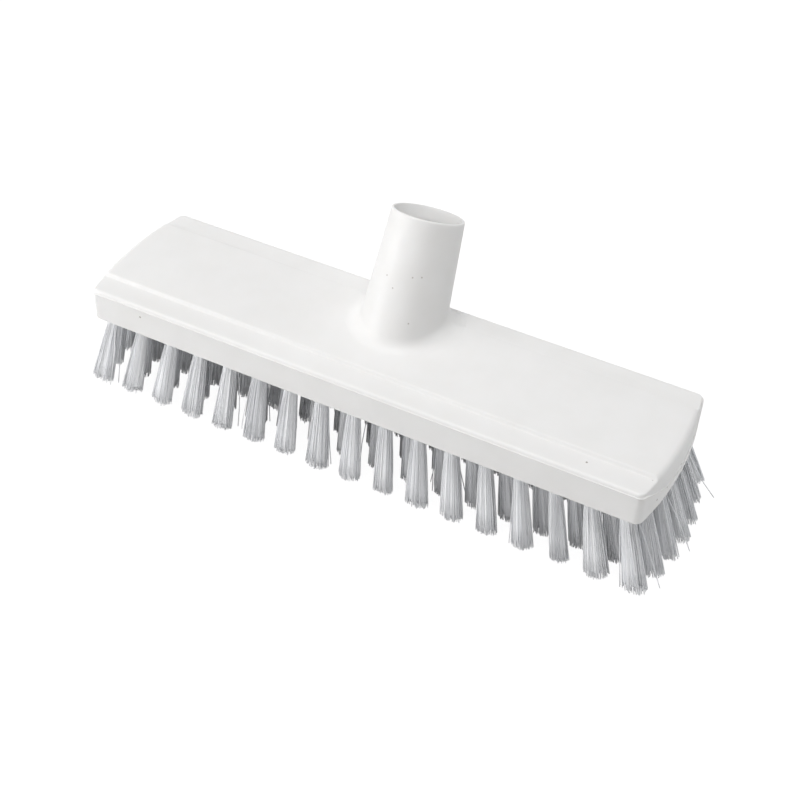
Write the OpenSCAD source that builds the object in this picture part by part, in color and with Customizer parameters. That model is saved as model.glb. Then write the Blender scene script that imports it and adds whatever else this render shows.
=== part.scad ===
// Deck scrub brush head: a moulded block with a tilted handle socket, and rows of stiff bristle
// tufts, each folded over a flat wire anchor at the bottom of its drilled hole. Block and
// socket are one moulding on the real brush. They are two nodes that meet face to face, because
// each is then a plain shape for collision, and the space beside the socket stays open.
// +X runs along the block, +Z is up, the bristle tips stand on z = 0, and the origin is the
// middle of the whole brush's outline seen from above.

/* [Block] */
// Overall length of the block, across its curved ends
block_l = 305; // [280:5:330]
// Width of the block
block_w = 80; // [76:1:90]
// How far each end bows out beyond its corners
end_bow = 4.5; // [3:0.5:6]
// Height of the side band, from the underside to the mould's parting line
band_h = 16; // [15:0.5:18]
// Radius of the four upright corners
corner_r = 4; // [3:0.5:6]
// Rounding of the long top edges
ledge_r = 1.8; // [1:0.2:2.4]
// Width of the raised centre panel
panel_w = 53.4; // [48:0.2:56]
// Height of the raised panel above the side ledges
panel_h = 1.6; // [1:0.2:2.4]
// Rounding of the panel's ends where they run down into the block's ends
end_r = 3.5; // [2.5:0.5:4]
// How far the upper half of the block stands back from the parting line
parting_lip = 0.2; // [0.1:0.1:0.4]

/* [Handle socket] */
// Lean of the socket towards the far side, in degrees from upright
socket_tilt = 24; // [20:1:26]
// Where the socket's axis meets the panel, behind the block's middle
socket_back = 15.3; // [12:0.1:16]
// Length of the socket above the panel, along its axis
socket_l = 55; // [50:1:60]
// Outer diameter at the mouth
mouth_d = 36.2; // [36:0.2:38]
// Outer diameter where the axis meets the panel
base_d = 42.6; // [41:0.2:44]
// Rounding of the mouth's lip
lip_r = 0.8; // [0.4:0.2:1]
// Diameter of the straight bore that takes the handle
bore_d = 29; // [28:0.5:30]
// Length of the straight bore
bore_l = 42; // [36:1:42]
// Length of the flared lead-in above the bore
lead_l = 6; // [4:0.5:6]
// Diameter of the lead-in at the mouth
lead_d = 33.8; // [32:0.2:34]
// Radius of the blend between the socket and the block
blend_r = 8; // [5:1:10]

/* [Tufts] */
// Length of the bristles below the block
trim_l = 44.5; // [38:0.5:50]
// Tufts in each outer row; every second row has one more
outer_count = 17; // [13:2:17]
// Distance between rows
row_pitch = 11; // [10.5:0.1:11.2]
// Distance from the middle to the last tuft of an outer row
outer_reach = 140; // [136:1:142]
// How much further the middle row reaches than the outer rows
row_bow = 6; // [4:0.5:6]
// Lean of the end tufts, in degrees
end_lean = 13.5; // [8:0.5:15]
// Lean of the tufts in the outer rows, in degrees
side_lean = 11; // [6:0.5:12]
// Diameter of the tuft holes
hole_d = 5.6; // [5:0.1:5.8]
// Depth of the tuft holes
hole_l = 11.5; // [10:0.5:12]
// Width of a strand where it leaves the block
strand_root_w = 1.8; // [1.2:0.1:2]
// Width of a strand at its tip
strand_tip_w = 2.8; // [2:0.1:3]
// Distance of a strand from its tuft's middle, along X and along Y, at the block
strand_root_out = 1.4; // [1.1:0.1:1.5]
// The same distance at the tip
strand_tip_out = 3.4; // [2:0.1:3.6]

/* [Anchors] */
// Length of the flat wire across the tuft, which bites into the block on both sides
anchor_l = 7; // [6.4:0.2:7.6]
// Thickness of the wire
anchor_t = 0.6; // [0.5:0.1:0.8]
// Width of the wire, up the hole
anchor_w = 2; // [1.6:0.1:2.4]
// Depth of the tuft's fold over the wire, at the bottom of the hole
fold_t = 2; // [1.6:0.1:2.4]

/* [Hidden] */
ROWS = 7;
BANKS = ["left", "middle", "right"];
function bank_node(row, bank) = str("row_", row + 1, "_", BANKS[bank], "_tufts");
function anchor_node(row) = str("row_", row + 1, "_anchors");
$fn = 96;

white = [0.93, 0.93, 0.92];
bristle_white = [0.80, 0.82, 0.85];
steel = [0.72, 0.73, 0.75];

// Small overlap between shapes that make one solid
eps = 0.05;
// Gap between a tuft's plug and its hole, and between neighbouring backing slices
seat_gap = 0.05;
// Thickness of the slice of the block's underside that each bank of tufts carries
slice_t = 1.2;
// Height of the wire's lower edge above the underside
wire_z = hole_l - fold_t - anchor_w;

// Levels of the block, from the floor up
under_z = trim_l;
parting_z = under_z + band_h;
ledge_z = parting_z + ledge_r;
panel_z = ledge_z + panel_h;
// Crown of the panel: a very flat arch across its width
crown_h = 0.3;
top_z = panel_z + crown_h;
// Radii of the step between ledge and panel
step_top_r = 1;
step_foot_r = 0.6;
// How far the end leans in from the parting band to the top
end_draft = 0.6;
end_draft_z = under_z + 8;

// Plan of an end: an arc through the corners, and its centre on the X axis
arc_r = (pow(block_w / 2, 2) + pow(end_bow, 2)) / (2 * end_bow);
arc_x = block_l / 2 - arc_r;
// Centre of an upright corner's rounding, tangent to the side and to the end arc
corner_y = block_w / 2 - corner_r;
corner_x = arc_x + sqrt(pow(arc_r - corner_r, 2) - pow(corner_y, 2));
corner_a = atan2(corner_y, corner_x - arc_x);

// The socket: its taper, its mouth, the far reach of its lip, and the level of its root
tilt_sin = sin(socket_tilt);
tilt_cos = cos(socket_tilt);
taper = (base_d - mouth_d) / 2 / socket_l;
root_z = under_z + hole_l + 1.5;
mouth_reach = socket_back + (socket_l - lip_r) * tilt_sin
    + (mouth_d / 2 - lip_r + taper * lip_r) * tilt_cos + lip_r;

// The tufts: how far the outermost tips reach
last_row_y = row_pitch * (ROWS - 1) / 2;
tip_reach = last_row_y + trim_l * tan(side_lean) + strand_tip_out + strand_tip_w / 2;
// Places the block so that the origin is the middle of the whole outline
block_y = (tip_reach - mouth_reach) / 2;

// Tufts of a row, where its last tuft stands, and the place of tuft i
function row_y(row) = row_pitch * (row - (ROWS - 1) / 2);
function row_count(row) = outer_count + row % 2;
function row_reach(row) = outer_reach + row_bow * (1 - pow(row_y(row) / last_row_y, 2));
function tuft_x(row, i) = row_reach(row) * (2 * i / (row_count(row) - 1) - 1);
// How far a tip stands from its root, in X and Y: the lean grows from the middle outwards
function tip_dx(x) = trim_l * tan(end_lean) * x / outer_reach;
function tip_dy(y) = trim_l * tan(side_lean) * y / last_row_y;
// First and last tuft of a bank, and the middle of the gap before tuft i
function bank_start(row, bank) = bank == 0 ? 0 : bank == 1 ? 6 : row_count(row) - 6;
function bank_end(row, bank) = bank == 2 ? row_count(row) - 1 : bank_start(row, bank + 1) - 1;
function gap_x(row, i) = (tuft_x(row, i - 1) + tuft_x(row, i)) / 2;
// Half length of the recess that holds a row's slices, inside the underside's rim
rim_w = 1.6;
function recess_half(row) =
    arc_x + sqrt(pow(arc_r - rim_w, 2) - pow(abs(row_y(row)) + row_pitch / 2, 2));

// Turns a shape that stands on z = 0 so that it leans as the tuft at x, y does
module lean(x, y) {
    dx = tip_dx(x);
    dy = tip_dy(y);
    rotate([0, -atan2(norm([dx, dy]), trim_l), atan2(dy, dx)]) children();
}

// Points of an arc about c, from one angle to another
function arc_points(c, r, a0, a1, steps) =
    [for (k = [0:steps]) let (a = a0 + (a1 - a0) * k / steps) c + r * [cos(a), sin(a)]];

// Right half of the cross-section in Y and Z, from the underside up: band, rounded ledge,
// hollow foot and rounded edge of the panel's step, and the crown
half_w = block_w / 2 - parting_lip;
edge_z = panel_z - step_top_r;
half_section = concat(
    [[block_w / 2, under_z], [block_w / 2, parting_z]],
    arc_points([half_w - ledge_r, ledge_z - ledge_r], ledge_r, 0, 90, 6),
    arc_points([panel_w / 2 + step_foot_r, ledge_z + step_foot_r], step_foot_r, 270, 180, 4),
    arc_points([panel_w / 2 - step_top_r, edge_z], step_top_r, 0, 84, 6),
    [for (k = [1:5])
        let (y = (panel_w / 2 - step_top_r) * (1 - k / 5))
        [y, top_z - crown_h * pow(2 * y / panel_w, 2)]]
);
module block_section() {
    mirrored = [for (k = [len(half_section) - 2:-1:0]) [-half_section[k][0], half_section[k][1]]];
    polygon(concat(half_section, mirrored));
}

// Disc about an end arc's centre: its rim is the block's end, drafted and rounded at the top
module end_disc() {
    rim = arc_r - end_draft;
    crest_z = top_z + eps;
    round_z = crest_z - end_r;
    rotate_extrude($fn = 360) {
        polygon([
            [0, under_z - 1], [arc_r, under_z - 1], [arc_r, end_draft_z], [rim, round_z],
            [rim - end_r, round_z], [rim - end_r, crest_z], [0, crest_z]
        ]);
        translate([rim - end_r, round_z]) circle(r = end_r);
    }
}

// What the rounding takes off one upright corner, seen from above
module corner_cut() {
    far = 3 * corner_r;
    difference() {
        polygon([
            [corner_x, corner_y],
            [corner_x, corner_y + far],
            [corner_x + far, corner_y + far],
            [corner_x + far * cos(corner_a), corner_y + far * sin(corner_a)]
        ]);
        translate([corner_x, corner_y]) circle(r = corner_r + eps / 5);
    }
}

// The slab of the block without socket or holes
module slab() {
    difference() {
        intersection() {
            rotate([90, 0, 90]) linear_extrude(block_l + 2, center = true) block_section();
            translate([arc_x, 0, 0]) end_disc();
            translate([-arc_x, 0, 0]) end_disc();
        }
        for (mx = [0, 1]) for (my = [0, 1])
            mirror([mx, 0, 0]) mirror([0, my, 0])
                translate([0, 0, under_z - 2]) linear_extrude(top_z - under_z + 4) corner_cut();
    }
}

// Puts a shape drawn round the Z axis onto the socket's axis, z = 0 at the panel
module on_socket_axis() {
    translate([0, socket_back, panel_z]) rotate([-socket_tilt, 0, 0]) children();
}

// Outside of the socket: a cone with a rounded lip, cut off level inside the block
module socket_cone() {
    buried = 16;
    base_r = base_d / 2 + taper * buried;
    lip_z = socket_l - lip_r;
    intersection() {
        on_socket_axis() rotate_extrude() {
            polygon([
                [0, -buried], [base_r, -buried], [mouth_d / 2 + taper * lip_r, lip_z],
                [mouth_d / 2 - lip_r, lip_z], [mouth_d / 2 - lip_r, socket_l], [0, socket_l]
            ]);
            translate([mouth_d / 2 + taper * lip_r - lip_r, lip_z]) circle(r = lip_r);
        }
        translate([-block_l / 2, -block_w, root_z]) cube([block_l, 3 * block_w, 200]);
    }
}

// Handle bore: straight, with a flared lead-in at the mouth
module socket_bore() {
    on_socket_axis() {
        translate([0, 0, socket_l - lead_l - bore_l]) cylinder(d = bore_d, h = bore_l + eps);
        translate([0, 0, socket_l - lead_l])
            cylinder(d1 = bore_d, d2 = lead_d, h = lead_l);
        translate([0, 0, socket_l - eps / 5]) cylinder(d = lead_d, h = 2);
    }
}

// The blend between socket and block, as rings of points round the socket. At angle a about
// the axis, the cone's line meets the block's top at a corner point; a rolling ball of radius
// blend_r touches the top and the cone at equal distances from it, and a conic through the two
// touching points is the ball's arc.
BLEND_SIDES = 48;
BLEND_STEPS = 6;
// Height of the block's top at y: rounded edge, ledge, the panel's step as a ramp, crown
function top_at(y) =
    let (side = abs(y), round_y = half_w - ledge_r, crown_y = panel_w / 2 - step_top_r)
    side > round_y ? ledge_z - ledge_r
        + sqrt(pow(ledge_r, 2) - pow(min(side, half_w) - round_y, 2)) :
    side > crown_y ? ledge_z + panel_h
        * max(0, 1 - (side - crown_y) / (step_top_r + step_foot_r)) :
    top_z - crown_h * pow(2 * y / panel_w, 2);
// Axial distance at which the cone's line at angle a reaches height h
function meet_s(a, h) =
    (h - panel_z + base_d / 2 * sin(a) * tilt_sin) / (tilt_cos + taper * sin(a) * tilt_sin);
// Point of the cone at axial distance s and angle a
function cone_at(a, s) =
    let (r = base_d / 2 - taper * s - eps)
    [r * cos(a),
     socket_back + s * tilt_sin + r * sin(a) * tilt_cos,
     panel_z + s * tilt_cos - r * sin(a) * tilt_sin];
// Corner point: the height is taken from the top under a first try at panel height
function corner_at(a) =
    let (first = cone_at(a, meet_s(a, panel_z)))
    cone_at(a, meet_s(a, top_at(first[1])));
// Distance from the corner to the touching points, kept inside the block's far edge
function touch_len(a) =
    let (corner = corner_at(a),
         out_y = corner[1] - socket_back,
         room = block_w / 2 - ledge_r - 0.3 - corner[1],
         full = blend_r * tan(45 + socket_tilt * sin(a) / 2))
    out_y > 0 ? max(0.4, min(full, room * norm([corner[0], out_y]) / out_y)) : full;
function blend_point(a, t) =
    let (corner = corner_at(a),
         f = touch_len(a),
         out = [corner[0], corner[1] - socket_back] / norm([corner[0], corner[1] - socket_back]),
         foot_y = corner[1] + f * out[1],
         foot = [corner[0] + f * out[0], foot_y, top_at(foot_y)],
         s = meet_s(a, corner[2]) + f,
         head = cone_at(a, s),
         w = sin((90 - socket_tilt * sin(a)) / 2),
         weights = [pow(1 - t, 2), 2 * w * t * (1 - t), pow(t, 2)],
         total = weights[0] + weights[1] + weights[2])
    (weights[0] * foot + weights[1] * corner + weights[2] * head) / total;
// The lowest ring is the root's, straight under the foot of the blend
function blend_ring(j) =
    [for (i = [0:BLEND_SIDES - 1])
        let (a = 360 * i / BLEND_SIDES, p = blend_point(a, max(0, j) / BLEND_STEPS))
        j < 0 ? [p[0], p[1], root_z] : p];
module socket_blend() {
    points = [for (j = [-1:BLEND_STEPS]) each blend_ring(j)];
    last = BLEND_STEPS + 1;
    faces = concat(
        [[for (i = [0:BLEND_SIDES - 1]) i]],
        [for (j = [0:last - 1]) for (i = [0:BLEND_SIDES - 1])
            let (n = (i + 1) % BLEND_SIDES)
            [j * BLEND_SIDES + i, (j + 1) * BLEND_SIDES + i, j * BLEND_SIDES + n]],
        [for (j = [0:last - 1]) for (i = [0:BLEND_SIDES - 1])
            let (n = (i + 1) % BLEND_SIDES)
            [(j + 1) * BLEND_SIDES + i, (j + 1) * BLEND_SIDES + n, j * BLEND_SIDES + n]],
        [[for (i = [BLEND_SIDES - 1:-1:0]) last * BLEND_SIDES + i]]
    );
    polyhedron(points, faces, convexity = 4);
}

// Blind holes for the tufts of one row, drilled along each tuft's own lean
module tuft_holes(row) {
    for (i = [0:row_count(row) - 1]) {
        x = tuft_x(row, i);
        y = row_y(row);
        translate([x, y, under_z]) lean(x, y)
            translate([0, 0, -1]) cylinder(d = hole_d, h = hole_l + 1);
    }
}

// The block, with the socket's seat, the tuft holes and the recess of the backing slices
module block() {
    color(white) translate([0, block_y, 0]) difference() {
        slab();
        translate([0, 0, root_z]) linear_extrude(block_w)
            polygon([for (p = blend_ring(0)) [p[0], p[1]]]);
        for (row = [0:ROWS - 1]) {
            tuft_holes(row);
            translate([-recess_half(row), row_y(row) - row_pitch / 2, under_z - 1])
                cube([2 * recess_half(row), row_pitch, slice_t + 1]);
        }
    }
}

// The socket, with the blend round its foot and the root that fills its seat in the block
module handle_socket() {
    color(white) translate([0, block_y, 0]) difference() {
        union() {
            socket_cone();
            socket_blend();
        }
        socket_bore();
    }
}

// One strand: a square bar between the slice and the floor, turned a little and spreading
// towards its tip, with both ends level
module strand(root, tip, root_w, tip_w, turn) {
    function square_at(c, w, z) =
        [for (k = [0:3]) [c[0] + w / sqrt(2) * cos(turn + 90 * k),
                          c[1] + w / sqrt(2) * sin(turn + 90 * k), z]];
    polyhedron(
        concat(square_at(tip, tip_w, 0), square_at(root, root_w, under_z + slice_t / 2)),
        [[0, 1, 2, 3], [7, 6, 5, 4], [0, 4, 5, 1], [1, 5, 6, 2], [2, 6, 7, 3], [3, 7, 4, 0]]
    );
}

// One tuft: its root as a plug in the hole, folded over the anchor, and four strands
module tuft(x, y) {
    translate([x, y, under_z]) lean(x, y) difference() {
        translate([0, 0, slice_t / 2])
            cylinder(d = hole_d - 2 * seat_gap, h = hole_l - slice_t / 2 - 2 * seat_gap);
        translate([-anchor_l / 2, -anchor_t / 2 - seat_gap, wire_z - seat_gap])
            cube([anchor_l, anchor_t + 2 * seat_gap, anchor_w + 2 * seat_gap]);
    }
    for (sx = [-1, 1]) for (sy = [-1, 1])
        strand(
            [x + sx * strand_root_out, y + sy * strand_root_out],
            [x + tip_dx(x) + sx * strand_tip_out, y + tip_dy(y) + sy * strand_tip_out],
            strand_root_w, strand_tip_w, 45
        );
}

// A third of a row: its slice of the underside with the tufts that stand in it
module tufts(row, bank) {
    first = bank_start(row, bank);
    last = bank_end(row, bank);
    x0 = bank == 0 ? -recess_half(row) : gap_x(row, first);
    x1 = bank == 2 ? recess_half(row) : gap_x(row, last + 1);
    color(bristle_white) translate([0, block_y, 0]) {
        translate([x0 + seat_gap, row_y(row) - row_pitch / 2 + seat_gap, under_z])
            cube([x1 - x0 - 2 * seat_gap, row_pitch - 2 * seat_gap, slice_t - seat_gap]);
        for (i = [first:last]) tuft(tuft_x(row, i), row_y(row));
    }
}

// The flat wire anchors of one row, each under its tuft's fold near the bottom of the hole
module anchors(row) {
    y = row_y(row);
    color(steel) translate([0, block_y, 0])
        for (i = [0:row_count(row) - 1]) {
            x = tuft_x(row, i);
            translate([x, y, under_z]) lean(x, y)
                translate([-anchor_l / 2, -anchor_t / 2, wire_z])
                    cube([anchor_l, anchor_t, anchor_w]);
        }
}

block();
handle_socket();
for (row = [0:ROWS - 1]) for (bank = [0:2])
    tufts(row, bank);
for (row = [0:ROWS - 1])
    anchors(row);
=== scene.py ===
"""Deck scrub brush head: a white moulded block with a tilted handle socket, standing on seven
rows of stiff bristle tufts that flare outwards. Lengths are in millimetres until a mesh is
made; +X runs along the block, +Z is up, and the bristle tips stand on z = 0."""
import bmesh
import bpy
import numpy as np
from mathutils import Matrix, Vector
from mathutils.geometry import delaunay_2d_cdt


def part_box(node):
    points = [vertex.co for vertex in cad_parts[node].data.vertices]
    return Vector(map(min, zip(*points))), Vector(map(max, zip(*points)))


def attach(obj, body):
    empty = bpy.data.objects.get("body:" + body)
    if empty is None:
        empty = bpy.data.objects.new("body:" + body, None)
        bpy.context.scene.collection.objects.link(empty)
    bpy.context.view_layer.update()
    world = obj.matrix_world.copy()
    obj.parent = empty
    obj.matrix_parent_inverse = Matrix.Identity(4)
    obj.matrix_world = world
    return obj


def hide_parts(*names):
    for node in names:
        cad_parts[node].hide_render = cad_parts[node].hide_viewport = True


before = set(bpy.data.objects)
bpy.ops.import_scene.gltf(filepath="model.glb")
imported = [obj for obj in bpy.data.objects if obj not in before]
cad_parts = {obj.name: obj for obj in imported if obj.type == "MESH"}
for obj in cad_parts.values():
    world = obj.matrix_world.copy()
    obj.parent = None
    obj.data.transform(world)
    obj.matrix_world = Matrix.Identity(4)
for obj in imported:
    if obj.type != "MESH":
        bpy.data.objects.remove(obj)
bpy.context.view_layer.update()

MM = 0.001

# Camera: it sees the near long side and the right end, from a little above forty degrees
lens = bpy.data.cameras.new("photo_camera")
lens.sensor_width = 36
lens.lens = 65.385
lens.shift_x = -0.0016
lens.clip_start = 0.01
camera = bpy.data.objects.new("photo_camera", lens)
camera.location = (0.25346, -0.49548, 0.50297)
camera.rotation_euler = (0.856799, -0.033257, 0.491009)
bpy.context.collection.objects.link(camera)
bpy.context.scene.camera = camera

# Block, as in the model: plan and edges, then heights from the bristle tips up
BLOCK_LONG = 305.0
BLOCK_WIDE = 80.0
END_BOW = 4.5
CORNER_R = 4.0
LEDGE_R = 1.8
PANEL_WIDE = 53.4
PANEL_HIGH = 1.6
CROWN = 0.3
LIP = 0.2
END_DRAFT = 0.6
END_R = 3.5
UNDER = 44.5
BAND_HIGH = 16.0
PARTING = UNDER + BAND_HIGH
LEDGE = PARTING + LEDGE_R
PANEL = LEDGE + PANEL_HIGH

# Handle socket, as in the model
SOCKET_TILT = np.radians(24.0)
SOCKET_BACK = 15.3
SOCKET_LONG = 55.0
MOUTH_R = 18.1
BASE_R = 21.3
LIP_R = 0.8
BORE_R = 14.5
BORE_LONG = 42.0
LEAD_LONG = 6.0
LEAD_R = 16.9
BLEND_R = 8.0
TAPER = (BASE_R - MOUTH_R) / SOCKET_LONG

# Tufts and their holes, as in the model
ROWS = 7
BANKS = ("left", "middle", "right")
ROW_PITCH = 11.0
OUTER_TUFTS = 17
OUTER_REACH = 140.0
ROW_BOW = 6.0
END_LEAN = np.radians(13.5)
SIDE_LEAN = np.radians(11.0)
HOLE_R = 2.8
HOLE_DEEP = 11.5

# The plan of an end is an arc through the corners; each corner is rounded inside it
ARC_R = ((BLOCK_WIDE / 2) ** 2 + END_BOW ** 2) / (2 * END_BOW)
ARC_X = BLOCK_LONG / 2 - ARC_R
CORNER_Y = BLOCK_WIDE / 2 - CORNER_R
CORNER_X = ARC_X + np.sqrt((ARC_R - CORNER_R) ** 2 - CORNER_Y ** 2)
CORNER_A = np.arctan2(CORNER_Y, CORNER_X - ARC_X)

# The model's block is not centred on the origin: the socket leans out behind it
low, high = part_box("block")
BLOCK_Y = (low.y + high.y) / 2 / MM


# Meshes
def grid_quads(rows, columns, wrap=False):
    """Quads of a grid whose points are numbered row by row; with wrap, the last column joins
    the first."""
    across = columns if wrap else columns - 1
    row, column = np.meshgrid(np.arange(rows - 1), np.arange(across), indexing="ij")
    after = (column + 1) % columns
    quads = np.stack([row * columns + column, row * columns + after,
                      (row + 1) * columns + after, (row + 1) * columns + column], -1)
    return quads.reshape(-1, 4).tolist()


def tube_quads(levels, tubes, sides):
    """Quads round tubes whose points are numbered level by level, tube by tube."""
    number = np.arange(tubes * sides).reshape(tubes, sides)
    after = np.roll(number, -1, 1)
    level = np.arange(levels - 1)[:, None, None] * tubes * sides
    quads = np.stack([level + number, level + after, level + after + tubes * sides,
                      level + number + tubes * sides], -1)
    return quads.reshape(-1, 4).tolist()


def closed_tubes(levels, tubes, sides):
    """The quads round such tubes, and a face across both ends of each tube."""
    near_end = np.arange(tubes * sides).reshape(tubes, sides)
    far_end = near_end + (levels - 1) * tubes * sides
    return tube_quads(levels, tubes, sides) + near_end[:, ::-1].tolist() + far_end.tolist()


def circle(sides):
    """Points of a circle of radius 1 about the origin, anticlockwise as seen from above."""
    a = np.arange(sides) * 2 * np.pi / sides
    return np.stack([np.cos(a), np.sin(a)], -1)


def joined(*parts):
    """Points and faces of one mesh, from parts that each have points and faces of their own."""
    points = []
    faces = []
    start = 0
    for part_points, part_faces in parts:
        points.append(part_points)
        faces += [[number + start for number in face] for face in part_faces]
        start += len(part_points)
    return np.concatenate(points), faces


def mesh_piece(name, points, faces, material, nodes, weld=0.0, sharp=None):
    """One object from points in millimetres about the block's middle and lists of faces, with
    the nodes that it stands for. Points closer than weld are merged, and edges that turn by
    more than sharp degrees are shaded as edges."""
    mesh = bpy.data.meshes.new(name)
    mesh.from_pydata(((points + [0, BLOCK_Y, 0]) * MM).tolist(), [], faces)
    if weld:
        work = bmesh.new()
        work.from_mesh(mesh)
        bmesh.ops.remove_doubles(work, verts=work.verts, dist=weld * MM)
        bmesh.ops.recalc_face_normals(work, faces=work.faces)
        work.to_mesh(mesh)
        work.free()
    mesh.polygons.foreach_set("use_smooth", [True] * len(mesh.polygons))
    if sharp:
        mesh.set_sharp_from_angle(angle=np.radians(sharp))
    mesh.materials.append(material)
    mesh.update()
    piece = bpy.data.objects.new(name, mesh)
    bpy.context.collection.objects.link(piece)
    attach(piece, "root")
    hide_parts(*nodes)
    return piece


# Finishes
class Finish:
    """A material with one Principled shader, built node by node on Object coordinates."""

    def __init__(self, name):
        self.material = bpy.data.materials.new(name)
        self.material.use_nodes = True
        self.nodes = self.material.node_tree.nodes
        self.links = self.material.node_tree.links
        self.shader = self.nodes["Principled BSDF"]
        self.place = self.nodes.new("ShaderNodeTexCoord").outputs["Object"]

    def link(self, source, target):
        self.links.new(source, target)

    def noise(self, scale, detail=2.0, rough=0.5, stretch=None):
        """Noise over the object; scale is in features per metre, stretch squeezes it."""
        texture = self.nodes.new("ShaderNodeTexNoise")
        texture.inputs["Scale"].default_value = scale
        texture.inputs["Detail"].default_value = detail
        texture.inputs["Roughness"].default_value = rough
        if stretch:
            mapping = self.nodes.new("ShaderNodeMapping")
            mapping.inputs["Scale"].default_value = stretch
            self.link(self.place, mapping.inputs["Vector"])
            self.link(mapping.outputs[0], texture.inputs["Vector"])
        else:
            self.link(self.place, texture.inputs["Vector"])
        return texture.outputs["Fac"]

    def span(self, value, low, high, to_low=0.0, to_high=1.0):
        """Value rescaled from low..high to to_low..to_high, held at the ends."""
        scale = self.nodes.new("ShaderNodeMapRange")
        self.link(value, scale.inputs["Value"])
        for socket, number in zip(("From Min", "From Max", "To Min", "To Max"),
                                  (low, high, to_low, to_high)):
            scale.inputs[socket].default_value = number
        return scale.outputs["Result"]

    def blend(self, amount, first, second):
        """Colour that goes from first to second with amount."""
        mix = self.nodes.new("ShaderNodeMix")
        mix.data_type = "RGBA"
        self.link(amount, mix.inputs["Factor"])
        for socket, colour in zip((mix.inputs["A"], mix.inputs["B"]), (first, second)):
            if isinstance(colour, tuple):
                socket.default_value = (*colour, 1)
            else:
                self.link(colour, socket)
        return mix.outputs["Result"]

    def bump(self, height, strength, distance, below=None):
        """Bump from a height, on top of another bump."""
        node = self.nodes.new("ShaderNodeBump")
        node.inputs["Strength"].default_value = strength
        node.inputs["Distance"].default_value = distance
        self.link(height, node.inputs["Height"])
        if below:
            self.link(below, node.inputs["Normal"])
        return node.outputs["Normal"]

    def tone(self):
        """The shade from 0 to 1 that a mesh carries for each of its strands."""
        node = self.nodes.new("ShaderNodeAttribute")
        node.attribute_name = "tone"
        return node.outputs["Fac"]

    def near(self, point, reach):
        """1 close to a point given in metres, falling to 0 at reach from it."""
        apart = self.nodes.new("ShaderNodeVectorMath")
        apart.operation = "DISTANCE"
        self.link(self.place, apart.inputs[0])
        apart.inputs[1].default_value = point
        return self.span(apart.outputs["Value"], reach * 0.6, reach, 1.0, 0.0)

    def set(self, **values):
        """Numbers, colours or sockets for the shader's own sockets."""
        for name, value in values.items():
            socket = self.shader.inputs[name.replace("_", " ")]
            if isinstance(value, bpy.types.NodeSocket):
                self.link(value, socket)
            elif isinstance(value, tuple):
                socket.default_value = (*value, 1)
            else:
                socket.default_value = value


# Dark specks in the block and fainter nicks in the socket, in millimetres from the block's
# middle, with the size of each kind and its colour
SPECKS = ((117.6, -31.7, 62.3), (147.3, -27.8, 62.8), (151.4, -16.2, 50.5), (152.4, 0.3, 51.5),
          (151.8, 14.9, 46.5), (150.6, -26.1, 50.5), (-118.8, -40.0, 56.2))
NICKS = ((-6.0, 8.0, 94.0), (-1.2, 4.9, 90.1), (6.9, 9.5, 96.3), (10.7, 11.7, 96.4),
         (10.2, 0.6, 76.0))
MARKS = ((SPECKS, 0.65, (0.36, 0.33, 0.31)), (NICKS, 0.50, (0.56, 0.53, 0.50)))


def moulded_plastic():
    """White moulded plastic: a faint cloudy mottle, a fine satin grain and long shallow flow
    waves, with a slightly uneven gloss and a few dark specks."""
    finish = Finish("moulded_plastic")
    cloud = finish.span(finish.noise(55, 3), 0.35, 0.65)
    colour = finish.blend(cloud, (0.828, 0.822, 0.812), (0.848, 0.843, 0.836))
    for places, size, shade in MARKS:
        for x, y, z in places:
            mark = finish.near((x * MM, (y + BLOCK_Y) * MM, z * MM), size * MM)
            colour = finish.blend(mark, colour, shade)
    wave = finish.bump(finish.noise(38, 1, stretch=(0.35, 1, 1)), 0.25, 0.0006)
    grain = finish.bump(finish.noise(1900, 2), 0.10, 0.0001, wave)
    gloss = finish.span(finish.noise(120, 2), 0.3, 0.7, 0.44, 0.54)
    finish.set(Base_Color=colour, Roughness=gloss, Normal=grain, IOR=1.49)
    finish.set(Subsurface_Weight=0.12, Subsurface_Scale=0.002)
    finish.shader.inputs["Subsurface Radius"].default_value = (1.0, 0.9, 0.8)
    return finish.material


def bristle_nylon():
    """Bristles of white nylon: cool, satin, each a little lighter or darker than the next."""
    finish = Finish("bristle_nylon")
    colour = finish.blend(finish.tone(), (0.945, 0.957, 0.985), (0.98, 0.987, 1.0))
    finish.set(Base_Color=colour, Roughness=0.4, IOR=1.53)
    return finish.material


def anchor_steel():
    """Bright drawn wire: fine scratches along it and a patchy grey."""
    finish = Finish("anchor_steel")
    patch = finish.span(finish.noise(300, 3), 0.3, 0.7)
    colour = finish.blend(patch, (0.50, 0.51, 0.52), (0.62, 0.62, 0.62))
    scratch = finish.bump(finish.noise(4000, 2, stretch=(0.05, 1, 1)), 0.2, 0.00005)
    finish.set(Base_Color=colour, Metallic=1.0, Roughness=0.32, Normal=scratch)
    return finish.material


PLASTIC = moulded_plastic()
NYLON = bristle_nylon()
STEEL = anchor_steel()

# Top of the block: the step between ledge and panel is STEP_WIDE across and starts STEP_OUT
# outside the panel's edge, and the skin is rounded over JOIN_SOFT where panel and ends meet
STEP_OUT = 0.9
STEP_WIDE = 2.0
JOIN_SOFT = 0.7

# The quarter circle of an end's edge tops out just above the crown, and the edge climbs on
# behind it, so that the panel soon has its own height
END_CREST = PANEL + CROWN + 0.1
END_CLIMB = 0.3

# The mould's seam: how far its ridge stands out, how deep it dips on an end, and its section,
# as insets from the rim and heights from the seam's own line
FLASH = 0.18
SEAM_DIP = 10.8
SEAM = ((0, -0.40), (-FLASH, -0.15), (-FLASH, 0.0), (LIP, 0.12))

# Rounding of the rim's foot, and where rings lie on the upright band between foot and seam
FOOT_R = 0.7
BAND_STEPS = (0.1, 0.35, 0.65, 0.9)

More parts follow.
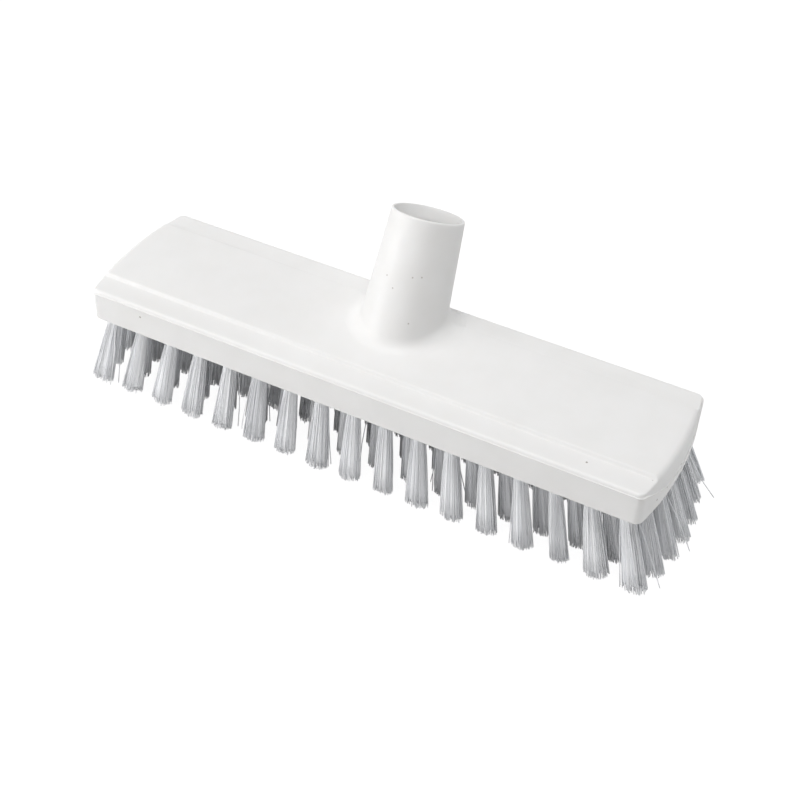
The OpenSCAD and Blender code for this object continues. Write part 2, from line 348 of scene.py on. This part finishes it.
# Rings of the rim's top edge. On a side the first SIDE_SHARE of them make the quarter circle;
# on an end the first DRAFT_SHARE climb its face, from DRAFT_START above the seam's line
EDGE_STEPS = 16
SIDE_SHARE = 0.62
DRAFT_SHARE = 0.25
DRAFT_START = 0.06

# Places along the block where the section is repeated, as shares of the half length, closer
# towards the ends, and places across it, closer at the panel's steps
END_STEPS = 1 - np.array([0, 0.004, 0.009, 0.015, 0.022, 0.032, 0.046])
HALF_X = np.concatenate([np.linspace(0, 0.93, 36), END_STEPS[::-1]])
ALONG = np.concatenate([-HALF_X[:0:-1], HALF_X])
HALF_Y = np.concatenate([np.linspace(0, 24.4, 11), np.linspace(24.9, 28.0, 22),
                         np.linspace(29.2, CORNER_Y, 7)])
ACROSS = np.concatenate([-HALF_Y[:0:-1], HALF_Y])
CORNER_STEPS = np.linspace(0, 1, 9)[1:-1]

# Beyond this far across, the places of an end's rim turn towards the corner
STRAIGHT_Y = 29.0

# A tuft hole has a small chamfer at its mouth and a larger one at its floor
HOLE_SIDES = 20
HOLE_RIM = 0.25
HOLE_CONE = 0.6
HOLE_PROFILE = ((HOLE_R + HOLE_RIM, 0), (HOLE_R, HOLE_RIM), (HOLE_R, 4),
                (HOLE_R, HOLE_DEEP - HOLE_CONE), (HOLE_R - HOLE_CONE, HOLE_DEEP), (0, HOLE_DEEP))


# The moulded block
def ease(t):
    """Smooth step from 0 to 1."""
    t = np.clip(t, 0, 1)
    return t * t * (3 - 2 * t)


def soft_min(a, b, reach):
    """Lower of two heights, rounded where they come within reach of each other."""
    near = np.maximum(reach - np.abs(a - b), 0) / reach
    return np.minimum(a, b) - near * near * reach / 4


def panel_height(y):
    """Top of the block at y: the ledge, a soft S-shaped step, and the panel's slight crown."""
    step = ease((PANEL_WIDE / 2 + STEP_OUT - np.abs(y)) / STEP_WIDE)
    crown = PANEL + CROWN * (1 - (2 * y / PANEL_WIDE) ** 2)
    return LEDGE + step * (crown - LEDGE)


def end_height(inset):
    """Height of an end's rounded edge at a distance in from the end's outline: a quarter
    circle, then a slow rise that soon leaves the panel alone."""
    rise = np.clip(END_DRAFT + END_R - inset, 0, END_R)
    return (END_CREST - END_R + np.sqrt(END_R ** 2 - rise ** 2)
            + END_CLIMB * np.maximum(inset - END_DRAFT - END_R, 0))


def top_height(x, y):
    """Top of the block inside its corners: the lower of the section and the two ends."""
    inset = ARC_R - np.hypot(np.abs(x) - ARC_X, y)
    return soft_min(panel_height(y), end_height(inset), JOIN_SOFT)


def seam_height(y):
    """Mould seam on an end: level with the sides' parting line at the corners, and dipping in
    a shallow bow towards the middle."""
    return PARTING - SEAM_DIP * np.clip(1 - (y / CORNER_Y) ** 2, 0, 1)


def quarter_outline():
    """Quarter of the top's own outline, CORNER_R inside the block's, from the middle of the
    right end to the middle of the far side: its points, nine of them on the spot at the
    corner's centre, the angle at which the rim goes out from each, each one's share of end
    against side, and how closely it keeps its place across as the rim goes out."""
    end_y = ACROSS[ACROSS >= 0]
    end_x = ARC_X + np.sqrt((ARC_R - CORNER_R) ** 2 - end_y ** 2)
    corner = len(CORNER_STEPS)
    side = len(HALF_X)
    points = np.stack([
        np.concatenate([end_x, np.full(corner, CORNER_X), HALF_X[::-1] * CORNER_X]),
        np.concatenate([end_y, np.full(corner, CORNER_Y), np.full(side, CORNER_Y)])], 1)
    turn = np.concatenate([np.arctan2(end_y, end_x - ARC_X),
                           CORNER_A + (np.pi / 2 - CORNER_A) * CORNER_STEPS,
                           np.full(side, np.pi / 2)])
    end = np.concatenate([np.ones(len(end_y)), 1 - ease(CORNER_STEPS), np.zeros(side)])
    keep = np.concatenate([1 - ease((end_y - STRAIGHT_Y) / (CORNER_Y - STRAIGHT_Y)),
                           np.zeros(corner + side)])
    return points, turn, end, keep


def rim_points(inset, height):
    """One ring of the rim, from an inset and a height for all or for each of the quarter
    outline's points. Each point starts there and goes out along its direction; the quarter is
    mirrored into the other three."""
    points, turn, end, keep = quarter_outline()
    out = CORNER_R - inset
    x = points[:, 0] + out * np.cos(turn)
    y = points[:, 1] + out * np.sin(turn)
    on_row = ARC_X + np.sqrt((ARC_R - inset) ** 2 - points[:, 1] ** 2)
    x = np.where(end == 1, keep * on_row + (1 - keep) * x, x)
    y = np.where(end == 1, keep * points[:, 1] + (1 - keep) * y, y)
    quarter = np.stack(np.broadcast_arrays(x, y, height), 1)
    left = quarter[-2::-1] * [-1, 1, 1]
    far_half = np.concatenate([quarter, left])
    near_half = far_half[-2:0:-1] * [1, -1, 1]
    return np.concatenate([far_half, near_half])


def side_edge(t):
    """Inset and height of a side's top edge, at share t of the way in: a quarter circle, then
    the flat ledge as far as the top's own outline."""
    angle = min(t / SIDE_SHARE, 1) * np.pi / 2
    flat = max(t - SIDE_SHARE, 0) / (1 - SIDE_SHARE)
    inset = LIP + LEDGE_R * (1 - np.cos(angle)) + flat * (CORNER_R - LIP - LEDGE_R)
    return inset, PARTING + LEDGE_R * np.sin(angle)


def end_edge(t, y, seam):
    """Inset and height of an end's top edge, at share t of the way in and y across, above the
    seam's height there: a face with a little draft, then a quarter circle, as far as the
    top's own outline, and nowhere higher than the panel."""
    lift = min(t / DRAFT_SHARE, 1)
    full_turn = np.arccos((END_DRAFT + END_R - CORNER_R) / END_R)
    turned = max(t - DRAFT_SHARE, 0) / (1 - DRAFT_SHARE) * full_turn
    inset = min(LIP + lift * (END_DRAFT - LIP) + END_R * (1 - np.cos(turned)), CORNER_R)
    if lift < 1:
        height = seam + DRAFT_START + lift * (END_CREST - END_R - seam - DRAFT_START)
    else:
        height = end_height(inset)
    return inset, soft_min(panel_height(y), height, JOIN_SOFT)


def block_rim():
    """Rim of the block as closed rings, from the underside up and in to the top's outline: a
    rounded foot, the upright band, the ridge of the seam, and the rounded top edge. That edge
    has one form on the sides and another on the ends, and round a corner each ring goes from
    one to the other."""
    points, _, end, _ = quarter_outline()
    seam = PARTING + end * (seam_height(points[:, 1]) - PARTING)
    rings = []
    for angle in np.radians([0, 22.5, 45, 67.5, 90]):
        rings.append(rim_points(FOOT_R * (1 - np.sin(angle)),
                                UNDER + FOOT_R * (1 - np.cos(angle))))
    band_top = seam + SEAM[0][1]
    for step in BAND_STEPS:
        rings.append(rim_points(0, UNDER + FOOT_R + step * (band_top - UNDER - FOOT_R)))
    for inset, rise in SEAM:
        rings.append(rim_points(inset, seam + rise))
    for k in range(1, EDGE_STEPS + 1):
        side_in, side_up = side_edge(k / EDGE_STEPS)
        end_in, end_up = end_edge(k / EDGE_STEPS, points[:, 1], seam)
        rings.append(rim_points(end * end_in + (1 - end) * side_in,
                                end * end_up + (1 - end) * side_up))
    return rings


def tuft_places(row):
    """Where the tufts of a row stand, and how far the model's tips lie from their roots."""
    y = ROW_PITCH * (row - (ROWS - 1) / 2)
    last_y = ROW_PITCH * (ROWS - 1) / 2
    reach = OUTER_REACH + ROW_BOW * (1 - (y / last_y) ** 2)
    x = np.linspace(-reach, reach, OUTER_TUFTS + row % 2)
    return x, y, UNDER * np.tan(END_LEAN) * x / OUTER_REACH, UNDER * np.tan(SIDE_LEAN) * y / last_y


def tuft_table():
    """Root and lean of every tuft: x, y, and the tip's shift in x and y."""
    rows = []
    for row in range(ROWS):
        x, y, dx, dy = tuft_places(row)
        rows.append(np.stack([x, np.full(len(x), y), dx, np.full(len(x), dy)], 1))
    return np.concatenate(rows)


def flat_underside(rim):
    """Underside within the rim's first ring, in triangles, with a round opening for each
    tuft hole."""
    roots = tuft_table()[:, :2]
    mouth_r = HOLE_R + HOLE_RIM
    mouths = roots[:, None] + mouth_r * circle(HOLE_SIDES)
    flat = np.concatenate([rim[:, :2], mouths.reshape(-1, 2)])
    edges = [(i, (i + 1) % len(rim)) for i in range(len(rim))]
    first = len(rim) + HOLE_SIDES * np.arange(len(roots))[:, None]
    step = np.arange(HOLE_SIDES)
    round_mouths = np.stack([first + step, first + (step + 1) % HOLE_SIDES], -1).reshape(-1, 2)
    edges += [tuple(edge) for edge in round_mouths.tolist()]
    made = delaunay_2d_cdt([Vector(p) for p in flat.tolist()], edges, [], 0, 1e-5)
    spots = np.array([tuple(p) for p in made[0]])
    faces = np.array(made[2])
    # Triangles that close a mouth have their middle within it, and are left out
    middle = spots[faces].mean(1)
    apart = np.linalg.norm(middle[:, None] - roots, axis=-1).min(1)
    faces = faces[apart > mouth_r * np.cos(np.pi / HOLE_SIDES)]
    return np.column_stack([spots, np.full(len(spots), UNDER)]), faces.tolist()


def tuft_holes():
    """Walls and floors of the tuft holes, each following its tuft's lean."""
    tufts = tuft_table()
    lean = -tufts[:, 2:] / UNDER
    levels = []
    for radius, deep in HOLE_PROFILE:
        level = tufts[:, None, :2] + radius * circle(HOLE_SIDES) + deep * lean[:, None]
        height = np.full((len(tufts), HOLE_SIDES, 1), UNDER + deep)
        levels.append(np.concatenate([level, height], 2).reshape(-1, 3))
    return np.concatenate(levels), tube_quads(len(levels), len(tufts), HOLE_SIDES)


def moulded_block():
    """The block in one closed skin: the grid of its top, the rim's rings round it, the
    underside and the tuft holes."""
    span = ARC_X + np.sqrt((ARC_R - CORNER_R) ** 2 - ACROSS ** 2)
    x = ALONG[None, :] * span[:, None]
    y = np.repeat(ACROSS[:, None], len(ALONG), 1)
    top = np.stack([x, y, top_height(x, y)], -1).reshape(-1, 3)
    rings = block_rim()
    points, faces = joined(
        (top, grid_quads(len(ACROSS), len(ALONG))),
        (np.concatenate(rings), grid_quads(len(rings), len(rings[0]), wrap=True)),
        flat_underside(rings[0]),
        tuft_holes())
    return mesh_piece("moulded_block", points, faces, PLASTIC, ["block"],
                      weld=0.02, sharp=35)


# Where the socket's blend meets the block: the step that it sees is drawn out, it stays clear
# of the ledge's rounded edge, and its reach is held softly to the room there is
STEP_DRAWN = 8.0
EDGE_GAP = 0.3
LEAST_ROOM = 0.6
LEAST_REACH = 0.4
ROOM_SOFT = 1.5

# The socket's skin runs on inside the block: out and down from the blend's foot, and then
# straight down to the root's height
SKIRT = ((0.5, 1.0), (0.4, 0.06))
ROOT_Z = 58.0

# Points round the socket, and rings of its blend and of its wall
SOCKET_SIDES = 144
BLEND_STEPS = 15
WALL_STEPS = 12

# Inside the socket: the mouth's inner edge, as steps out from the lead-in's radius and down
# from the mouth, places down the lead-in and the bore, the gap that softens the join between
# them, and the rounding of the floor and a ring half-way in on it
MOUTH_EDGE = ((0.25, 0), (0.06, 0.05), (-0.06, 0.25))
LEAD_STEPS = (0.1, 0.35, 0.65, 0.93)
BORE_STEPS = (0, 0.1, 0.4, 0.7, 0.95, 1)
BORE_START = 0.5
FLOOR_R = 1.0
FLOOR_MIDDLE = 7.0


# The handle socket
def on_axis(a, r, s):
    """Point at angle a and radius r about the socket's axis, at distance s along it."""
    return np.stack([r * np.cos(a),
                     SOCKET_BACK + s * np.sin(SOCKET_TILT) + r * np.sin(a) * np.cos(SOCKET_TILT),
                     PANEL + s * np.cos(SOCKET_TILT) - r * np.sin(a) * np.sin(SOCKET_TILT)], -1)


def on_cone(a, s):
    """Point of the socket's outside at angle a about its axis, at distance s along it."""
    return on_axis(a, BASE_R - TAPER * s, s)


def cone_meets(a, height):
    """Distance along the axis at which the cone's line at angle a reaches a height."""
    lean = np.sin(a) * np.sin(SOCKET_TILT)
    return (height - PANEL + BASE_R * lean) / (np.cos(SOCKET_TILT) + TAPER * lean)


def block_top(y):
    """Top of the block across its whole width, with the rounded edge of the ledge."""
    round_y = BLOCK_WIDE / 2 - LIP - LEDGE_R
    over = np.clip(np.abs(y) - round_y, 0, LEDGE_R)
    return np.where(over > 0, LEDGE - LEDGE_R + np.sqrt(LEDGE_R ** 2 - over ** 2),
                    panel_height(y))


def blend_top(y):
    """Top of the block as the socket's blend meets it, with the step drawn out."""
    step = ease((PANEL_WIDE / 2 + STEP_DRAWN / 2 - np.abs(y)) / STEP_DRAWN)
    return LEDGE + step * (PANEL + CROWN - LEDGE)


def blend_rings(a):
    """Rings from the socket's root inside the block up its blend, and where on the axis the
    blend ends. The blend at each angle is a conic between the block's top and the cone, which
    is the arc of a ball that rolls round the socket's foot. Towards the far side, where the
    ledge leaves less room, the ball is smaller."""
    first = on_cone(a, cone_meets(a, PANEL))
    corner = on_cone(a, cone_meets(a, blend_top(first[:, 1])))
    away = corner[:, :2] - [0, SOCKET_BACK]
    out = away / np.hypot(*away.T)[:, None]
    opening = np.pi / 4 + SOCKET_TILT * np.sin(a) / 2
    full = BLEND_R * np.tan(opening)
    room = (BLOCK_WIDE / 2 - LEDGE_R - EDGE_GAP - corner[:, 1]) / np.maximum(out[:, 1], 0.01)
    held = -ROOM_SOFT * np.log(np.exp(-np.maximum(room, LEAST_ROOM) / ROOM_SOFT)
                               + np.exp(-full / ROOM_SOFT))
    reach = np.where(out[:, 1] > 0, np.maximum(held, LEAST_REACH), full)
    foot = corner[:, :2] + reach[:, None] * out
    foot = np.column_stack([foot, block_top(foot[:, 1])])
    head_s = cone_meets(a, corner[:, 2]) + reach
    head = on_cone(a, head_s)
    weight = np.sin((np.pi / 2 - SOCKET_TILT * np.sin(a)) / 2)
    flat_out = np.column_stack([out, 0 * a])
    rings = [np.column_stack([foot[:, :2], np.full(len(a), ROOT_Z)])]
    rings += [foot + further * flat_out - [0, 0, deep] for further, deep in SKIRT]
    for t in np.linspace(0, 1, BLEND_STEPS):
        parts = ((1 - t) ** 2, 2 * weight * t * (1 - t), t ** 2)
        total = parts[0] + parts[1] + parts[2]
        rings.append((parts[0] * foot + parts[1][:, None] * corner + parts[2] * head)
                     / total[:, None])
    return rings, head_s


def bore_profile():
    """Radius and distance along the axis of the rings inside the socket: the mouth's inner
    edge, the flared lead-in, the bore and its floor."""
    bore_s = SOCKET_LONG - LEAD_LONG
    floor_s = bore_s - BORE_LONG
    straight = BORE_LONG - BORE_START - FLOOR_R
    profile = [(LEAD_R + out, SOCKET_LONG - down) for out, down in MOUTH_EDGE]
    profile += [(LEAD_R + (BORE_R - LEAD_R) * t, SOCKET_LONG - LEAD_LONG * t) for t in LEAD_STEPS]
    profile += [(BORE_R, bore_s - BORE_START - straight * t) for t in BORE_STEPS]
    profile += [(BORE_R - 0.3 * FLOOR_R, floor_s + 0.3 * FLOOR_R), (BORE_R - FLOOR_R, floor_s)]
    return profile + [(FLOOR_MIDDLE, floor_s), (0, floor_s)]


def handle_socket():
    """The socket as rings about its leaning axis: the root inside the block, the blend, the
    tapered wall, the rounded lip, the flared lead-in, the bore and its floor."""
    a = np.linspace(0, 2 * np.pi, SOCKET_SIDES, endpoint=False)
    rings, head_s = blend_rings(a)
    lip_s = SOCKET_LONG - LIP_R
    for t in np.linspace(0, 1, WALL_STEPS)[1:]:
        rings.append(on_cone(a, head_s + t * (lip_s - head_s)))
    edge_r = BASE_R - TAPER * lip_s
    for angle in np.radians([15, 30, 45, 60, 75, 90]):
        rings.append(on_axis(a, edge_r - LIP_R + LIP_R * np.cos(angle),
                             lip_s + LIP_R * np.sin(angle)))
    rings += [on_axis(a, r, s) for r, s in bore_profile()]
    faces = grid_quads(len(rings), len(a), wrap=True)
    faces.append(list(range(len(a)))[::-1])
    return mesh_piece("moulded_socket", np.concatenate(rings), faces, PLASTIC,
                      ["handle_socket"], weld=0.03, sharp=40)


# Tufts in a row's left and in its right bank; the middle bank has the rest
BANK_TUFTS = 6

# Bristles of a tuft, each folded over its flat wire: how many, their radius and corners, the
# spread of their roots about the tuft's middle, and of their tips along the block and across
FOLDED = 56
STRAND_R = 0.26
BAR_SIDES = 3
ROOT_SPREAD = 2.5
TIP_SPREAD = np.array([5.8, 3.9])

# Places in the spread: each bristle lies a golden share of the half turn on from the last, and
# a power below a half crowds them towards the outside, round the core
GOLDEN = 0.618034
CROWDING = 0.38

# Below the block the spread grows with this power of the way down to the tip
FLARE = 0.65

# Ways down, 1 at the tip and 0 at the block's underside, for the points of bristles and cores
FALL = np.array([1.0, 0.72, 0.42, 0.17, 0.05, -0.03])
CORE_FALL = np.array([0.90, 0.70, 0.42, 0.17, 0.05, -0.05])

# Half the wire's thickness, the height of its top above the underside, and the fold over it:
# shoulders a little lower, an arch between them, and more arch for bristles further out
WIRE_HALF = 0.3
WIRE_TOP = 9.5
SHOULDER = 0.2
ARCH = 0.45
ARCH_GROWTH = 0.6

# The photographed tufts all lean a little towards the far side, on top of their own fan
FAN_SHARE = 0.9
TIP_BACK = 4.4

# Unevenness: of a whole tuft's spread, of roots and tips, of bows, and of thickness
FAN_NOISE = 0.06
ROOT_NOISE = 0.06
TIP_NOISE = 0.16
BOW = 0.12
THICKNESS = (0.92, 1.08)

# Clumps in a tuft, how far one is shifted, and the most that a clump and a single tip lack
CLUMPS = 10
CLUMP_SHIFT = 0.30
CLUMP_CUT = 1.1
SINGLE_CUT = 1.2

# Share of the tips that stray to the side, how far they go, and their stronger bow
STRAYS = 0.010
STRAY_REACH = np.array([8.0, 3.0])
STRAY_BOW = 0.9

# Ridges of a tuft's packed core, and how much of the bristles' spread they fill
CORE_SIDES = 32
CORE_SHARE = (0.80, 0.93)


# The bristles. Their arrays run over a folded bristle's halves, tufts, bristles, and x and y
def shortened(away):
    """How far the lean lifts a bristle's tip: all bristles have the same length, so one whose
    tip is away to the side of its root ends that much higher."""
    return UNDER - np.sqrt(UNDER ** 2 - away ** 2)


def folded_bars(rng, spot, lean, hole_lean, fan):
    """The bristles of some tufts as paths of points. Each is folded in two over its tuft's
    flat wire: up from one tip into the hole, over the wire, and down to the other tip. The
    roots fill a circle, one half on each side of the wire, and the tips fill an oval, wider
    along the wire and shifted by the tuft's lean, with a little bow between. Tips are cut a
    little unevenly, in small clumps, and a few stray to the side."""
    tufts = spot.shape[1]
    shape = (2, tufts, FOLDED)
    k = np.arange(FOLDED)
    radius = ((k + 0.5) / FOLDED) ** CROWDING
    angle = np.pi * ((k * GOLDEN + rng.random((tufts, 1))) % 1)
    side = np.array([1, -1])[:, None, None]
    disc = np.stack(np.broadcast_arrays(radius * np.cos(angle), side * radius * np.sin(angle)), -1)
    root = ROOT_SPREAD * disc + rng.normal(0, ROOT_NOISE, (*shape, 2))
    root[..., 1] = side * np.maximum(side * root[..., 1], WIRE_HALF + STRAND_R)
    tip = TIP_SPREAD * disc * fan + rng.normal(0, TIP_NOISE, (*shape, 2))
    # Neighbouring bristles hold together: they share a shift and a length
    clumps = rng.uniform(-1, 1, (tufts, CLUMPS, 2))
    nearest = np.linalg.norm(disc[..., None, :] - clumps[None, :, None], axis=-1).argmin(-1)
    shift = rng.normal(0, CLUMP_SHIFT, (1, tufts, CLUMPS, 2))
    short = rng.uniform(0, CLUMP_CUT, (1, tufts, CLUMPS))
    tip += np.take_along_axis(shift, nearest[..., None], 2)
    stray = (rng.random(shape) < STRAYS)[..., None]
    tip += stray * rng.uniform(-1, 1, (*shape, 2)) * STRAY_REACH
    bow = rng.normal(0, BOW, (*shape, 2)) + stray * rng.normal(0, STRAY_BOW, (*shape, 2))
    away = np.linalg.norm(lean + tip - root, axis=-1)
    cut = (shortened(away) + np.take_along_axis(short, nearest, 2)
           + SINGLE_CUT * rng.random(shape) ** 2)
    # Each half hangs from its root; inside the hole it follows the hole's own lean
    t = FALL[:, None, None, None, None]
    below = np.maximum(t, 0)
    hang = (spot + root + below * lean + np.minimum(t, 0) * hole_lean
            + below ** FLARE * (tip - root) + 4 * below * (1 - below) * bow)
    hang = np.concatenate([hang, (UNDER - t * (UNDER - cut[..., None]))], -1)
    shoulder = spot - hole_lean * WIRE_TOP / UNDER + root
    shoulder_z = np.full((*shape, 1), UNDER + WIRE_TOP - SHOULDER)
    shoulder = np.concatenate([shoulder, shoulder_z], -1)
    arch = shoulder.mean(0)
    arch[..., 2] += ARCH + ARCH_GROWTH * np.abs(root[..., 1]).mean(0)
    path = np.concatenate([hang[:, 0], shoulder[:1], arch[None], shoulder[1:], hang[::-1, 1]])
    return path.reshape(len(path), -1, 3)


def bar_rings(rng, path):
    """Corners of a bristle round each point of each path, in the plane across it."""
    along = np.gradient(path, axis=0)
    along /= np.linalg.norm(along, axis=-1, keepdims=True)
    first = np.array([1.0, 0, 0]) - along[..., :1] * along
    first /= np.linalg.norm(first, axis=-1, keepdims=True)
    second = np.cross(along, first)
    count = path.shape[1]
    corners = np.arange(BAR_SIDES) * 2 * np.pi / BAR_SIDES
    turn = (rng.uniform(0, 6.28, count)[:, None] + corners)[None, ..., None]
    size = STRAND_R * rng.uniform(*THICKNESS, count)[None, :, None, None]
    return path[:, :, None] + size * (np.cos(turn) * first[:, :, None]
                                      + np.sin(turn) * second[:, :, None])


def core_rings(rng, spot, lean, hole_lean, fan):
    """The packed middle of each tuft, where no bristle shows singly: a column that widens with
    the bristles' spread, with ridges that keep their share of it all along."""
    tufts = spot.shape[1]
    share = rng.uniform(*CORE_SHARE, (tufts, CORE_SIDES, 1))
    t = CORE_FALL[:, None, None, None]
    below = np.maximum(t, 0)
    radius = (ROOT_SPREAD + below ** FLARE * (TIP_SPREAD * fan - ROOT_SPREAD)) * share
    ring = (spot + below * lean + np.minimum(t, 0) * hole_lean
            + radius * circle(CORE_SIDES))
    cut = shortened(np.linalg.norm(lean, axis=-1))[..., None]
    height = np.broadcast_to(UNDER - t * (UNDER - cut), (*ring.shape[:3], 1))
    return np.concatenate([ring, height], -1)


def bristle_bank(row, bank):
    """The bristles of five or six tufts, in one mesh: thin three-sided bars round packed
    cores. A shade for each bar and each ridge goes with the mesh."""
    rng = np.random.default_rng(100 * row + bank)
    x, y, dx, dy = tuft_places(row)
    last = len(x) - BANK_TUFTS
    pick = (slice(0, BANK_TUFTS), slice(BANK_TUFTS, last), slice(last, None))[bank]
    x, dx = x[pick], dx[pick]
    tufts = len(x)
    spot = np.stack([x, np.full(tufts, y)], -1)[None, :, None]
    hole_lean = np.stack([dx, np.full(tufts, dy)], -1)[None, :, None]
    lean = hole_lean * [1.0, FAN_SHARE] + [0, TIP_BACK]
    fan = rng.normal(1, FAN_NOISE, (tufts, 1, 1))
    path = folded_bars(rng, spot, lean, hole_lean, fan)
    bars = bar_rings(rng, path)
    core = core_rings(rng, spot, lean, hole_lean, fan)
    points, faces = joined(
        (bars.reshape(-1, 3), closed_tubes(len(bars), bars.shape[1], BAR_SIDES)),
        (core.reshape(-1, 3), closed_tubes(len(core), tufts, CORE_SIDES)))
    name = BANKS[bank]
    piece = mesh_piece(f"bristles_row_{row + 1}_{name}", points, faces, NYLON,
                       [f"row_{row + 1}_{name}_tufts"])
    bar_tone = np.broadcast_to(rng.random((bars.shape[1], 1)), bars.shape[:3])
    core_tone = np.broadcast_to(rng.random((tufts, CORE_SIDES)), core.shape[:3])
    tone = piece.data.attributes.new("tone", "FLOAT", "POINT")
    tone.data.foreach_set("value", np.concatenate([bar_tone.ravel(), core_tone.ravel()]))
    return piece


def anchor_wires():
    """The wires are the model's own nodes, in bright steel."""
    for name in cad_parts:
        if name.endswith("_anchors"):
            for slot in bpy.data.objects[name].material_slots:
                slot.material = STEEL


# Surroundings, in metres. The floor is pale for the light that it throws back; seen directly
# it glows almost white, and keeps only a faint shadow
FLOOR_HALF = 4
FLOOR_LIGHT = (0.90, 0.90, 0.90, 1)
FLOOR_SEEN = (0.12, 0.12, 0.12, 1)
FLOOR_GLOW = 0.96
WORLD_LIGHT = 0.19
WHITE = (1, 1, 1, 1)

# Lamps: name, place, width, watts and colour; all are turned towards one point in the brush
LAMPS = (
    ("key", (-0.9, -0.6, 0.35), 0.5, 5.4, (1.0, 1.0, 1.0)),
    ("front", (0.1, -1.2, 0.12), 0.5, 1.0, (1.0, 0.97, 0.94)),
    ("top", (0, -0.1, 1.8), 1.2, 21.0, (1.0, 1.0, 1.0)),
    ("right", (1.302, 0.752, 0.607), 0.8, 2.7, (0.95, 0.98, 1.0)),
)
LIT_POINT = Vector((0, 0, 0.05))


def seen_directly(nodes, links):
    """1 for the camera's own rays and for what metal and glass show, 0 for light."""
    path = nodes.new("ShaderNodeLightPath")
    total = nodes.new("ShaderNodeMath")
    total.operation = "ADD"
    links.new(path.outputs["Is Camera Ray"], total.inputs[0])
    links.new(path.outputs["Is Glossy Ray"], total.inputs[1])
    both = nodes.new("ShaderNodeMath")
    both.operation = "ADD"
    both.use_clamp = True
    links.new(total.outputs[0], both.inputs[0])
    links.new(path.outputs["Is Transmission Ray"], both.inputs[1])
    return both.outputs[0]


def studio_floor():
    """Plain pale floor that keeps a faint shadow."""
    half = FLOOR_HALF
    corners = [(-half, -half, 0), (half, -half, 0), (half, half, 0), (-half, half, 0)]
    mesh = bpy.data.meshes.new("floor")
    mesh.from_pydata(corners, [], [(0, 1, 2, 3)])
    floor = bpy.data.objects.new("floor", mesh)
    bpy.context.collection.objects.link(floor)
    paint = bpy.data.materials.new("floor_paint")
    paint.use_nodes = True
    nodes, links = paint.node_tree.nodes, paint.node_tree.links
    nodes.remove(nodes["Principled BSDF"])
    plain = nodes.new("ShaderNodeBsdfDiffuse")
    plain.inputs["Color"].default_value = FLOOR_LIGHT
    faint = nodes.new("ShaderNodeBsdfDiffuse")
    faint.inputs["Color"].default_value = FLOOR_SEEN
    glow = nodes.new("ShaderNodeEmission")
    glow.inputs["Strength"].default_value = FLOOR_GLOW
    shown = nodes.new("ShaderNodeAddShader")
    links.new(faint.outputs[0], shown.inputs[0])
    links.new(glow.outputs[0], shown.inputs[1])
    mix = nodes.new("ShaderNodeMixShader")
    links.new(seen_directly(nodes, links), mix.inputs["Fac"])
    links.new(plain.outputs[0], mix.inputs[1])
    links.new(shown.outputs[0], mix.inputs[2])
    links.new(mix.outputs[0], nodes["Material Output"].inputs["Surface"])
    mesh.materials.append(paint)


def studio_world():
    """White surroundings, which give the brush only a soft light of their own."""
    world = bpy.data.worlds.new("studio")
    world.use_nodes = True
    bpy.context.scene.world = world
    nodes, links = world.node_tree.nodes, world.node_tree.links
    soft = nodes["Background"]
    soft.inputs["Color"].default_value = WHITE
    soft.inputs["Strength"].default_value = WORLD_LIGHT
    white = nodes.new("ShaderNodeBackground")
    white.inputs["Color"].default_value = WHITE
    mix = nodes.new("ShaderNodeMixShader")
    links.new(seen_directly(nodes, links), mix.inputs["Fac"])
    links.new(soft.outputs[0], mix.inputs[1])
    links.new(white.outputs[0], mix.inputs[2])
    links.new(mix.outputs[0], nodes["World Output"].inputs["Surface"])


def studio_lamps():
    """Four round area lamps."""
    for name, place, width, watts, colour in LAMPS:
        light = bpy.data.lights.new(name, "AREA")
        light.shape = "DISK"
        light.size = width
        light.energy = watts
        light.color = colour
        lamp = bpy.data.objects.new(name, light)
        lamp.location = place
        lamp.rotation_euler = (LIT_POINT - Vector(place)).to_track_quat("-Z", "Y").to_euler()
        bpy.context.collection.objects.link(lamp)


moulded_block()
handle_socket()
for row in range(ROWS):
    for bank in range(len(BANKS)):
        bristle_bank(row, bank)
anchor_wires()

studio_floor()
studio_world()
studio_lamps()
bpy.context.scene.view_settings.view_transform = "Standard"
